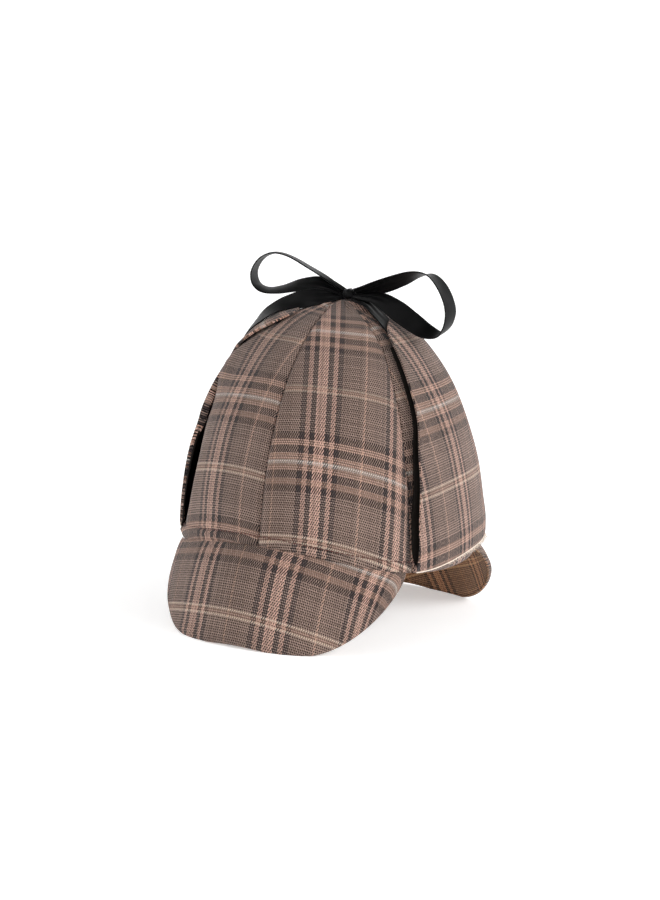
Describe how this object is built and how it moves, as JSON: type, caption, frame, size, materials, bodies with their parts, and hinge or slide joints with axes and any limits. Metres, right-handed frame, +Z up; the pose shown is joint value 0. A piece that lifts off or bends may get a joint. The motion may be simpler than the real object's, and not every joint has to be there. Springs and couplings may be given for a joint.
{
  "type": "deerstalker hat",
  "caption": "Deerstalker hat of brown check cloth: panelled dome crown, front and rear visors, ear flaps turned up and tied with a black ribbon bow.",
  "frame": {"origin": "bottom centre of the hat's box, on the surface that its two visors stand on", "axes": "+Z up, -Y to the front visor, +X to the wearer's left"},
  "size_m": [0.1794, 0.2466, 0.2162],
  "materials": {
    "check_cloth": "matt woven twill with a brown, tan and cream check",
    "dark_lining": "dark smooth lining cloth",
    "black_ribbon": "black satin ribbon with a soft sheen"
  },
  "bodies": {
    "root": {"crown_front_left": "check_cloth", "crown_side_left": "check_cloth", "crown_rear_left": "check_cloth", "crown_front_right": "check_cloth", "crown_side_right": "check_cloth", "crown_rear_right": "check_cloth", "front_visor": "check_cloth", "rear_visor": "check_cloth", "left_ear_flap": "check_cloth", "right_ear_flap": "check_cloth", "left_flap_lining": "dark_lining", "right_flap_lining": "dark_lining", "left_tie": "black_ribbon", "right_tie": "black_ribbon", "left_bow_loop": "black_ribbon", "right_bow_loop": "black_ribbon", "left_ribbon_tail": "black_ribbon", "right_ribbon_tail": "black_ribbon", "bow_knot": "black_ribbon"}
  },
  "joints": []
}
